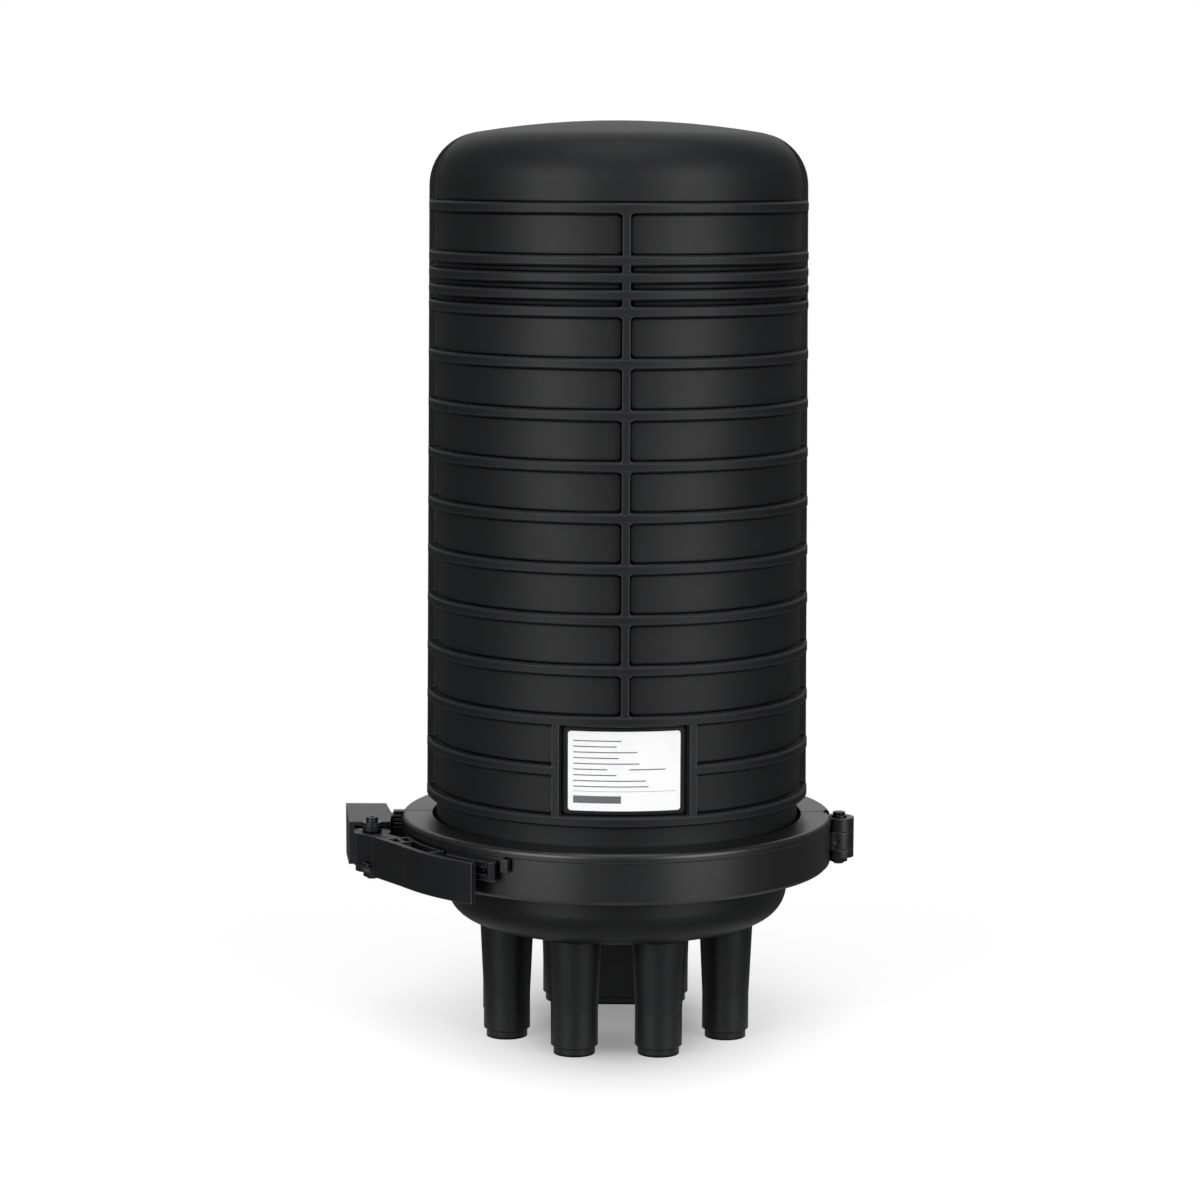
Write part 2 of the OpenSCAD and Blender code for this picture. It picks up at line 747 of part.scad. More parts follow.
module heel() {
    difference() {
        union() {
            translate([0, 0, ear_z0]) linear_extrude(ring_top - ear_z0) heel_plan();
            // tie to the ring: a thin web to the top, and a lower one behind it
            translate([heel_right - 2, split_gap / 2, ear_z0 + 2])
                cube([-ring_r + 6 - heel_right, 4.5, ring_top - ear_z0 - 2.4]);
            translate([heel_right - 2, split_gap / 2, ear_z0 + 2])
                cube([-ring_r + 8 - heel_right, heel_back - 3, ring_h - 8]);
        }
        // hollow from the front, under a roof that slopes to the front
        heel_cut(heel_left + 3.4 + heel_t, heel_right - heel_t,
                 [[heel_y - 1, ear_z0 + ear_t], [heel_back - heel_t, ear_z0 + ear_t],
                  [heel_back - heel_t, ring_top - heel_t], [heel_y - 1, ring_top - heel_slope - 2]]);
        heel_cut(heel_left - 1, heel_right + 1,
                 [[heel_y - 1, ring_top - heel_slope], [heel_back - 2, ring_top],
                  [heel_back - 2, ring_top + 1], [heel_y - 1, ring_top + 1]]);
        // level grooves across the front of the thin web
        for (k = [0:3]) translate([heel_right + 0.01, split_gap / 2 - 1, ring_top - 2.4 - 2.1 * k])
            cube([-ring_r - heel_right + 1, 2.2, 1.1]);
    }
}

module clamp_rear() {
    color("#242528") difference() {
        union() {
            difference() {
                union() {
                    ring_half(1);
                    difference() {
                        heel();
                        translate([0, 0, -1]) cylinder(r = groove_r + 2, h = big);
                    }
                }
                hinge_relief(knuckle_z0 + knuckle_low, knuckle_z2);
                hinge_relief(ring_low - 1, knuckle_z0);
                hinge_relief(knuckle_z2 + knuckle_top, ring_top + 1);
            }
            knuckle(1, knuckle_z0, knuckle_low);
            knuckle(1, knuckle_z2, knuckle_top);
            // ear under the lever's hub
            translate([latch_x, latch_y, ear_z0]) cylinder(r = hub_r - 1.9, h = ear_t);
            translate([latch_x - hub_r + 3, latch_y, ear_z0]) cube([2 * hub_r - 6, heel_y - latch_y + 1, ear_t]);
        }
        hinge_bore(knuckle_z0, ring_top);
        translate([latch_x, latch_y, ear_z0 - 1]) cylinder(r = lever_bolt_r + run_clear, h = ear_t + 2);
    }
}

// ---------- hinge and latch fasteners ----------

module hinge_bolt() {
    top = knuckle_z2 + knuckle_top;
    color("#9a9da1") translate([hinge_x, 0, 0]) difference() {
        union() {
            translate([0, 0, knuckle_z0 - hinge_nut_h - 1]) cylinder(r = hinge_bolt_r, h = top - knuckle_z0 + hinge_nut_h + 1 + eps);
            translate([0, 0, top]) cylinder(r = hinge_head_r, h = 0.9);
            translate([0, 0, top]) cylinder(r = hinge_head_r - 0.8, h = hinge_head_h, $fn = 6);
        }
    }
}

module hinge_nut() {
    color("#9a9da1") translate([hinge_x, 0, knuckle_z0 - hinge_nut_h]) difference() {
        cylinder(r = 4.6, h = hinge_nut_h, $fn = 6);
        translate([0, 0, -1]) cylinder(r = hinge_bolt_r, h = hinge_nut_h + 2);
    }
}

module lever_bolt() {
    top = washer_z + washer_t;
    color("#9a9da1") translate([latch_x, latch_y, 0]) difference() {
        union() {
            translate([0, 0, ear_z0 - 4.4]) cylinder(r = lever_bolt_r, h = top - ear_z0 + 4.4 + eps);
            translate([0, 0, top]) cylinder(r = 3, h = 2.6);
        }
        translate([0, 0, top + 1.2]) cylinder(r = 1.5, h = 3, $fn = 6);
    }
}

module lever_washer() {
    color("#8c8f93") translate([latch_x, latch_y, washer_z]) tube(washer_r, lever_bolt_r, washer_t);
}

module lever_nut() {
    color("#9a9da1") translate([latch_x, latch_y, ear_z0 - 3.4]) difference() {
        cylinder(r = 4.6, h = 3.4, $fn = 6);
        translate([0, 0, -1]) cylinder(r = lever_bolt_r, h = 6);
    }
}

module link_pin() {
    color("#9a9da1") translate([crank[0], crank[1], hub_z0]) cylinder(r = link_pin_r, h = deck_z + disc_t - hub_z0);
}

// ---------- lever ----------

// A thin wall across the lever, along an angle seen from the dome's axis
module cross_wall(a, more = 0) {
    bar(polar(rib_in_r, a), polar(lever_out_r - 1 + more, a), cell_wall, lever_z0, lever_z1);
    bar(polar(rail_in_r, a), polar(rib_in_r + 1, a), cell_wall, deck_z, lever_z1);
}

module latch_lever() {
    wall_r = lever_out_r - lever_wall / 2;
    bend = polar(wall_r, lever_bend_a);
    knee = polar(wall_r + knee_out, knee_a);
    toe = latch + polar(hub_r - lever_wall / 2, 218);
    color("#17181a") difference() {
        union() {
            curved_bar([0, 0], wall_r, lever_wall, lever_bend_a, lever_tip_a, lever_z0, lever_z1);
            bar(knee, bend, lever_wall, lever_z0, lever_z1);
            bar(toe, knee, lever_wall, lever_z0, lever_z1);
            for (p = [bend, knee, toe]) {
                translate([p[0], p[1], lever_z0]) cylinder(r = lever_wall / 2 + joint_bulge, h = lever_h);
            }
            // hub: a lower and an upper disc about a core, with a collar on top
            translate([latch_x, latch_y, hub_z0]) cylinder(r = hub_r - 1, h = disc_t);
            translate([latch_x, latch_y, deck_z]) cylinder(r = hub_r - 1, h = disc_t);
            translate([latch_x, latch_y, hub_z0]) cylinder(r = lever_bolt_r + 1.8, h = collar_z - hub_z0);
            translate([latch_x, latch_y, deck_z]) cylinder(r = collar_r, h = collar_z - deck_z);
            for (z = [hub_z0, deck_z]) {
                translate([crank[0], crank[1], z]) cylinder(r = lobe_r, h = disc_t);
                bar(latch, crank, 2 * lobe_r - 1, z, z + disc_t);
            }
            // deck between the hub and the cells
            bar(latch, polar(rib_in_r, cell_start_a), 6, deck_z, deck_z + disc_t);
            bar(latch + polar(5, -120), knee, 8, hub_z0, hub_z0 + disc_t);
            // cells
            curved_bar([0, 0], rail_in_r + cell_wall / 2, cell_wall, cell_start_a, cell_end_a, deck_z, lever_z1);
            curved_bar([0, 0], rib_in_r + cell_wall / 2, cell_wall, cell_start_a, cell_mid_a, lever_z0, lever_z1);
            cross_wall(cell_start_a, 3.2);
            cross_wall(cell_mid_a, 1);
            cross_wall(cell_end_a);
        }
        translate([latch_x, latch_y, lever_z0 - 1]) cylinder(r = lever_bolt_r + run_clear, h = big / 4);
        translate([crank[0], crank[1], hub_z0 - 1]) cylinder(r = link_pin_r, h = big / 8);
        // room for the ear under the hub
        translate([latch_x, latch_y, lever_z0 - 1]) cylinder(r = hub_r + 3.6, h = hub_z0 - lever_z0 + 1);
    }
}

// ---------- link ----------

// One bar of the link: about the bolt, across to the ring, and along it
module link_bar(z0) {
    z1 = z0 + link_t;
    turn = latch + polar(crank_r, link_turn_a);
    join = polar(link_r, link_join_a);
    curved_bar(latch, crank_r, link_w, link_turn_a, crank_a, z0, z1);
    bar(turn, join, link_w, z0, z1);
    for (p = [turn, join]) translate([p[0], p[1], z0]) cylinder(r = link_w / 2 + joint_bulge, h = link_t);
    curved_bar([0, 0], link_r, link_w, link_join_a, riser_a, z0, z1);
}

// One prong of the raised fork that carries the post
module prong(z0) {
    post = polar(post_line_r, post_a);
    last = polar(link_r, post_a - 8);
    curved_bar([0, 0], link_r, link_w, riser_a, post_a - 8, z0, z0 + fork_t);
    translate([last[0], last[1], z0]) cylinder(r = link_w / 2 + joint_bulge, h = fork_t);
    bar(last, post, link_w, z0, z0 + fork_t);
}

module latch_link() {
    post = polar(post_line_r, post_a);
    color("#1b1c1e") difference() {
        union() {
            link_bar(link_z0);
            link_bar(link_z1 - link_t);
            curved_bar([0, 0], link_r, link_w - 0.4, riser_a - 1.2, riser_a + 1.2, link_z0, fork_z1);
            prong(fork_z0);
            prong(fork_z1 - fork_t);
            translate([post[0], post[1], fork_z0]) cylinder(r = post_r, h = fork_z1 - fork_z0);
            translate([crank[0], crank[1], link_z0]) cylinder(r = lobe_r - 0.6, h = link_z1 - link_z0);
        }
        translate([crank[0], crank[1], link_z0 - 1]) cylinder(r = link_pin_r + run_clear, h = big / 8);
    }
}

// ---------- inner frame ----------

module support_plate() {
    color("#b4b7ba") translate([0, 0, plate_z]) difference() {
        cylinder(r = bowl_r - bowl_wall - plate_clear, h = plate_t);
        for (a = ports) translate(concat(polar(port_circle_r, a), -1)) cylinder(r = port_bore_r + 2, h = plate_t + 2);
        translate([0, oval_y, 0]) oval_slice(port_bore_r + oval_extra + 1, port_bore_r + oval_extra + 1, -1, plate_t + 1);
        for (p = boss_points) translate([p[0], p[1], -1]) cylinder(r = screw_r + 0.2, h = plate_t + 2);
        for (p = foot_points) translate([p[0], p[1], -1]) cylinder(r = screw_r, h = plate_t + 2);
        for (a = ports) translate(concat(anchor_point(a), -1)) cylinder(r = screw_r, h = plate_t + 2);
    }
}

module plate_screws() {
    color("#c3c5c8") for (p = boss_points) translate([p[0], p[1], plate_top]) screw(plate_screw_l);
}

// Centres of the two screws in the frame's feet
foot_points = [for (s = [-1, 1]) [s * (leg_in - foot_l / 2 - 1), leg_y]];

module inner_frame() {
    color("#b4b7ba") difference() {
        translate([0, leg_y + strip_w / 2, plate_top]) rotate([90, 0, 0]) linear_extrude(strip_w) difference() {
            round_rect(2 * leg_out, frame_top - plate_top, bend_r + strip_t);
            translate([0, strip_t]) round_rect(2 * leg_in, frame_top - plate_top - 2 * strip_t, bend_r);
            translate([-leg_in + foot_l, -1]) square([2 * leg_in - 2 * foot_l, strip_t + 2]);
        }
        for (p = foot_points) translate([p[0], p[1], plate_top - 1]) cylinder(r = screw_r + 0.2, h = strip_t + 2);
        for (z = side_screw_z) translate([-big / 2, leg_y, z]) rotate([0, 90, 0]) cylinder(r = screw_r + 0.2, h = big);
    }
}

module frame_screws() {
    color("#c3c5c8") for (p = foot_points) translate([p[0], p[1], plate_top + strip_t]) screw(strip_t + plate_t + 3);
}

// Lower edge of the carrier, just below its lowest step
carrier_low = carrier_z - stub_r - 7;

// Heights of the screws through the legs into the carrier's cheeks
side_screw_z = [hinge_z(1) + 4, hinge_z(1) + 22];

// Stepped side of the carrier, seen along X
module cheek_outline() {
    polygon(concat([[-stack_front, carrier_low]],
        [for (i = [1:trays], e = [0, 1]) [tray_y(i) + e * tray_pitch, hinge_z(i) + stub_r + 3]],
        [[back_y, carrier_low]]));
}

// The steps between the cheeks
module step_outline() {
    for (i = [1:trays]) {
        translate([tray_y(i), hinge_z(i) - stub_r - 6.5]) square([tray_pitch + cheek_t, cheek_t]);
        if (i < trays) translate([tray_y(i) + tray_pitch, hinge_z(i) - stub_r - 6.5])
            square([cheek_t, tray_step + cheek_t - eps]);
    }
    translate([back_y, carrier_low]) square([cheek_t, hinge_z(trays) + 8 - carrier_low]);
}

module along_x(x0, x1) {
    translate([x0, 0, 0]) rotate([90, 0, 90]) linear_extrude(x1 - x0) children();
}

module tray_carrier() {
    inner = tray_w / 2 + cheek_gap;
    color("#2c2e31") difference() {
        union() {
            for (s = [-1, 1]) along_x(s > 0 ? inner : -inner - cheek_t, s > 0 ? inner + cheek_t : -inner) cheek_outline();
            along_x(-inner - eps, inner + eps) step_outline();
        }
        for (i = [1:trays]) translate([-big / 2, tray_y(i) + tray_pitch / 2, hinge_z(i)]) rotate([0, 90, 0])
            cylinder(r = stub_r + 0.15, h = big);
        for (z = side_screw_z) translate([-big / 2, leg_y, z]) rotate([0, 90, 0]) cylinder(r = screw_r, h = big);
        for (p = basket_screw_points) translate([p[0], back_y - 1, p[1]]) rotate([-90, 0, 0])
            cylinder(r = screw_r, h = cheek_t + 2);
    }
}

module carrier_screws() {
    color("#c3c5c8") for (s = [-1, 1], z = side_screw_z)
        translate([s * leg_out, leg_y, z]) rotate([0, s * 90, 0]) screw(strip_t + cheek_t);
}

// ---------- trays ----------

// A tray stands on its hinge, with its open side towards -Y
module splice_tray(i) {
    h = hinge_z(i);
    y0 = tray_y(i) + (tray_pitch - tray_d) / 2;
    color("#d9dadb") translate([0, y0 + tray_d, h]) {
        rotate([90, 0, 0]) {
            // floor and rim
            translate([0, stub_r + 1]) linear_extrude(tray_wall) round_rect(tray_w, tray_l, tray_corner);
            translate([0, stub_r + 1]) linear_extrude(tray_d) difference() {
                round_rect(tray_w, tray_l, tray_corner);
                translate([0, tray_wall]) round_rect(tray_w - 2 * tray_wall, tray_l - 2 * tray_wall, tray_corner - tray_wall);
                translate([-tray_w / 4 - 7, -1]) square([14, tray_wall + 2]);
                translate([tray_w / 4 - 7, -1]) square([14, tray_wall + 2]);
            }
            // guides that keep the fibres in wide turns, above and below the holder
            for (y = [tray_l * 0.2, tray_l * 0.8]) translate([0, y + stub_r, 0]) linear_extrude(tray_d - 1) difference() {
                circle(guide_r);
                circle(guide_r - tray_wall);
                square([8, 3 * guide_r], center = true);
            }
            // tongue with the hinge stubs
            for (s = [-1, 1]) translate([s * (tray_w / 2 - 9), -stub_r]) linear_extrude(tray_d * 0.6)
                translate([-5, 0]) square([10, tray_corner + 4]);
        }
        translate([0, -tray_d / 2, 0]) for (s = [-1, 1]) translate([s * (tray_w / 2 - 14), 0, 0])
            rotate([0, s * 90, 0]) cylinder(r = stub_r, h = 14 + cheek_gap + cheek_t);
    }
}
guide_r = 26;

// A comb that grips the splice sleeves, on the floor of a tray
module splice_holder(i) {
    pitch = holder_w / channels;
    y0 = tray_y(i) + (tray_pitch + tray_d) / 2 - tray_wall;
    color("#3a6ea5") translate([0, y0, hinge_z(i) + stub_r + 1 + tray_l / 2 - holder_l / 2]) linear_extrude(holder_l) {
        translate([-holder_w / 2, -1.2]) square([holder_w, 1.2]);
        for (k = [0:channels]) translate([-holder_w / 2 + k * pitch * (holder_w - 1.2) / holder_w, -holder_t]) square([1.2, holder_t]);
    }
}

module tray_cover() {
    y0 = tray_y(1) + (tray_pitch - tray_d) / 2;
    color("#e8eef2", 0.5) translate([0, y0, hinge_z(1) + stub_r + 1]) rotate([90, 0, 0]) linear_extrude(cover_t)
        difference() {
            round_rect(tray_w, tray_l, tray_corner);
            translate([0, tray_l - 12]) circle(6);
        }
}

// The strap goes round the legs, the stack and the basket
module tray_strap() {
    y0 = tray_y(1) + (tray_pitch - tray_d) / 2 - cover_t - 0.2;
    y1 = basket_y + basket_d + 0.2;
    w = 2 * (leg_out + 0.2);
    z = hinge_z(1) + tray_l * 0.72;
    color("#26282b") translate([0, y0 - strap_t, z]) linear_extrude(strap_w) difference() {
        round_rect(w + 2 * strap_t, y1 - y0 + 2 * strap_t, 5);
        translate([0, strap_t]) round_rect(w, y1 - y0, 3.2);
    }
}

// ---------- storage basket ----------

// Two screws hold the basket to the back of the carrier, as [x, z]
basket_screw_points = [for (s = [-1, 1]) [s * (basket_w / 2 - 8), basket_z + 30]];

module storage_basket() {
    step = basket_h / 5;
    color("#d3d4d5") translate([0, basket_y, basket_z]) difference() {
        translate([-basket_w / 2, 0, 0]) cube([basket_w, basket_d, basket_h]);
        translate([-basket_w / 2 + basket_t, basket_t, basket_t])
            cube([basket_w - 2 * basket_t, basket_d - 2 * basket_t, basket_h]);
        // open back between two rims
        translate([-basket_w / 2 + 14, basket_d - basket_t - 1, 18]) cube([basket_w - 28, basket_t + 2, basket_h]);
        // slots in the sides and the front
        for (k = [0:4]) {
            translate([-basket_w / 2 - 1, 7, k * step + 10]) cube([basket_w + 2, basket_d - 14, step - 12]);
            translate([-basket_w / 2 + 14, -1, k * step + 10]) cube([basket_w - 28, basket_t + 2, step - 12]);
        }
        for (s = [-1, 1]) translate([s * 0.3 * basket_w, basket_d / 2, -1]) cylinder(r = 0.3 * basket_d, h = basket_t + 2);
        for (p = basket_screw_points) translate([p[0], -1, p[1] - basket_z]) rotate([-90, 0, 0])
            cylinder(r = screw_r + 0.2, h = basket_t + 2);
    }
}

module basket_screws() {
    color("#c3c5c8") for (p = basket_screw_points) translate([p[0], basket_y + basket_t, p[1]])
        rotate([-90, 0, 0]) screw(basket_t + cheek_t);
}

// ---------- cable anchors ----------

// Place of a port's anchor, on the side of the port towards the axis
function anchor_point(a) = polar(port_circle_r - port_bore_r - 2 - anchor_gap, a);

module cable_anchor(k) {
    a = ports[k - 1];
    color("#b4b7ba") translate(concat(anchor_point(a), plate_top)) rotate([0, 0, a]) difference() {
        union() {
            translate([-5, -6, 0]) cube([11.5, 12, 2]);
            translate([4.5, -6, 0]) cube([2, 12, 20]);
        }
        translate([0, 0, -1]) cylinder(r = screw_r + 0.2, h = 4);
        translate([3, -2, 8]) cube([8, 4, 8]);
    }
}

module anchor_screws() {
    color("#c3c5c8") for (a = ports) translate(concat(anchor_point(a), plate_top + 2)) screw(anchor_screw_l);
}

// ---------- assembly ----------

base();
seal_ring();
dome();
label();
clamp_front();
clamp_rear();
hinge_bolt();
hinge_nut();
latch_lever();
lever_bolt();
lever_washer();
lever_nut();
latch_link();
link_pin();
support_plate();
plate_screws();
inner_frame();
frame_screws();
tray_carrier();
carrier_screws();
tray_cover();
tray_strap();
storage_basket();
basket_screws();
anchor_screws();
for (i = [1:trays]) splice_tray(i);
for (i = [1:trays]) splice_holder(i);
for (k = [1:len(ports)]) cable_anchor(k);
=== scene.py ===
"""Dome splice closure: finishes, small surface detail, light and camera over the CAD frame.

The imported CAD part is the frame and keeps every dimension. This script gives each
of its pieces a procedural finish, adds the printed bars of the label, and sets
the studio. Lengths are in metres unless a name ends in _mm.
"""

import json  # noqa: E402
import logging  # noqa: E402
import math  # noqa: E402
from dataclasses import dataclass  # noqa: E402
from enum import Enum  # noqa: E402

import bmesh  # noqa: E402
import bpy  # noqa: E402
from mathutils import Matrix, Vector  # noqa: E402

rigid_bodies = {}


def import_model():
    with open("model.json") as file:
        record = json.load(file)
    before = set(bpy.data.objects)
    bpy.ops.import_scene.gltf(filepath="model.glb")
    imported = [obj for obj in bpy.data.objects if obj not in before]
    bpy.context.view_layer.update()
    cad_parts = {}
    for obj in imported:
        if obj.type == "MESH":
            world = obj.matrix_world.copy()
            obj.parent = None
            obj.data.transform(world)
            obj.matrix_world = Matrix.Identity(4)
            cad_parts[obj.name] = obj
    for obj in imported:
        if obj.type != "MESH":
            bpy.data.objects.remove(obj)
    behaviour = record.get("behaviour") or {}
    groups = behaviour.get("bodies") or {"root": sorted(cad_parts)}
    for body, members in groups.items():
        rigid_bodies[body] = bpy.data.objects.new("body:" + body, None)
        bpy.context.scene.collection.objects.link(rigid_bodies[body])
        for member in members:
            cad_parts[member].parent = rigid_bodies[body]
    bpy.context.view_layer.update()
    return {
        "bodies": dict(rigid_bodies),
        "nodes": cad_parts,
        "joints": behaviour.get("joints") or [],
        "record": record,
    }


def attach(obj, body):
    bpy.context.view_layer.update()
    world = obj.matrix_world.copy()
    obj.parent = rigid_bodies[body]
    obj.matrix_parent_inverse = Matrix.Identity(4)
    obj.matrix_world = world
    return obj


LOG = logging.getLogger("closure")
MM = 0.001


# ---------------------------------------------------------------- colour


def linear(hex_colour: str) -> tuple[float, float, float, float]:
    """Turn an sRGB hex colour into the linear values that the shaders take.

    Args:
        hex_colour: Six hex digits with a leading #.

    Returns:
        Linear red, green, blue and an alpha of 1.
    """
    parts = [int(hex_colour[i : i + 2], 16) / 255 for i in (1, 3, 5)]
    red, green, blue = (p / 12.92 if p <= 0.04045 else ((p + 0.055) / 1.055) ** 2.4 for p in parts)
    return (red, green, blue, 1.0)


def grey(level: float) -> tuple[float, float, float, float]:
    """Return a linear grey of one level."""
    return (level, level, level, 1.0)


# ---------------------------------------------------------------- shader nodes


class Graph:
    """A small wrapper that adds shader nodes and links them by name."""

    FINE_OCTAVES = 0.55  # weight of the finer octaves of every noise

    def __init__(self, owner: bpy.types.Material | bpy.types.World) -> None:
        """Empty the owner's node tree and work in it.

        Args:
            owner: Material or world that the nodes belong to.
        """
        self.owner = owner
        owner.use_nodes = True
        self.tree = owner.node_tree
        self.tree.nodes.clear()

    @classmethod
    def material(cls, name: str) -> "Graph":
        """Start a new material of this name."""
        return cls(bpy.data.materials.new(name))

    def add(self, kind: str, inputs: dict | None = None, **settings: object) -> bpy.types.Node:
        """Add one node.

        Args:
            kind: Node type without its ShaderNode prefix.
            inputs: Values or sockets for the node's inputs, by name or number.
            **settings: Properties of the node itself.

        Returns:
            The new node.
        """
        node = self.tree.nodes.new("ShaderNode" + kind)
        for key, value in settings.items():
            setattr(node, key, value)
        for key, value in (inputs or {}).items():
            self.feed(node, key, value)
        return node

    def feed(self, node: bpy.types.Node, key: object, value: object) -> None:
        """Give one input a value, or link a socket into it.

        Args:
            node: Node that has the input.
            key: Name or number of the input.
            value: A plain value or an output socket.
        """
        socket = node.inputs[key]
        if isinstance(value, bpy.types.NodeSocket):
            self.tree.links.new(value, socket)
        else:
            socket.default_value = value

    def maths(self, operation: str, *values: object) -> bpy.types.NodeSocket:
        """Add a Math node.

        Args:
            operation: Blender's name of the operation.
            *values: Its inputs, in order.

        Returns:
            The result's socket.
        """
        return self.add("Math", dict(enumerate(values)), operation=operation).outputs[0]

    def vector(self, operation: str, *values: object) -> bpy.types.NodeSocket:
        """Add a Vector Math node.

        Args:
            operation: Blender's name of the operation.
            *values: Its inputs, in order.

        Returns:
            The result's socket, a number for LENGTH and DOT_PRODUCT and a vector otherwise.
        """
        node = self.add("VectorMath", dict(enumerate(values)), operation=operation)
        return node.outputs["Value" if operation in ("LENGTH", "DOT_PRODUCT") else "Vector"]

    def noise(self, where: object, size_mm: float, detail: float) -> bpy.types.NodeSocket:
        """Add noise whose features are about one size.

        Args:
            where: Socket with the coordinates, in metres.
            size_mm: Size of the features.
            detail: Number of octaves.

        Returns:
            The noise, from 0 to 1.
        """
        scale = 1 / (size_mm * MM)
        node = self.add(
            "TexNoise", {"Vector": where, "Scale": scale, "Detail": detail, "Roughness": self.FINE_OCTAVES}
        )
        return node.outputs[0]

    def ramp(self, value: object, stops: list[tuple[float, float]]) -> bpy.types.NodeSocket:
        """Map a value through grey stops.

        Args:
            value: Socket to map.
            stops: Position and grey level of each stop.

        Returns:
            The mapped value.
        """
        node = self.add("ValToRGB", {"Fac": value})
        while len(node.color_ramp.elements) < len(stops):
            node.color_ramp.elements.new(0.5)
        for element, (place, level) in zip(node.color_ramp.elements, stops):
            element.position = place
            element.color = grey(level)
        return node.outputs[0]

    def mix(self, amount: object, first: object, second: object) -> bpy.types.NodeSocket:
        """Mix two colours.

        Args:
            amount: 0 for the first colour, 1 for the second.
            first: A colour or a socket.
            second: A colour or a socket.

        Returns:
            The mixed colour.
        """
        node = self.add("Mix", {0: amount, 6: first, 7: second}, data_type="RGBA")
        return node.outputs[2]

    def finish(self, surface: object) -> bpy.types.Material:
        """Link the surface to the output.

        Args:
            surface: Shader socket.

        Returns:
            The finished material.
        """
        self.add("OutputMaterial", {"Surface": surface})
        return self.owner


# ---------------------------------------------------------------- finishes


class Look(Enum):
    """The kinds of surface on the closure."""

    MOULDED = "moulded plastic"
    RUBBER = "rubber"
    METAL = "turned or plated metal"
    SHEET = "rolled sheet metal"
    CLEAR = "clear plastic"
    FABRIC = "woven strap"
    PRINT = "printed film"


@dataclass(frozen=True)
class Finish:
    """How one material slot looks.

    Attributes:
        name: What it is made of and how.
        look: Kind of surface.
        colour: Base colour, sRGB hex.
        second: Colour that the base drifts towards.
        rough: Roughness of the surface.
        grain_mm: Size of the fine grain.
        grain: Height of the grain, 0 to 1.
        edge_mm: Radius that the light sees on sharp edges.
        sheen: Strength of the specular reflection.
        crease_shade: How far painted shade darkens inner corners, 1 for black.
        crease_shade_mm: How far from an inner corner the painted shade reaches.
        crease_shade_walls: Share of that painted shade on walls that don't face away from the closure's
            axis.
        edge_wear_and_highlight: How far edges turn paler, partly from rubbing and partly as painted
            highlight.
        edge_wear_and_highlight_mm: Width of the pale edges.
    """

    name: str
    look: Look
    colour: str
    second: str
    rough: float
    grain_mm: float
    grain: float
    edge_mm: float
    sheen: float = 0.3
    crease_shade: float = 1.0
    crease_shade_mm: float = 2.0
    crease_shade_walls: float = 1.0
    edge_wear_and_highlight: float = 0.35
    edge_wear_and_highlight_mm: float = 0.8


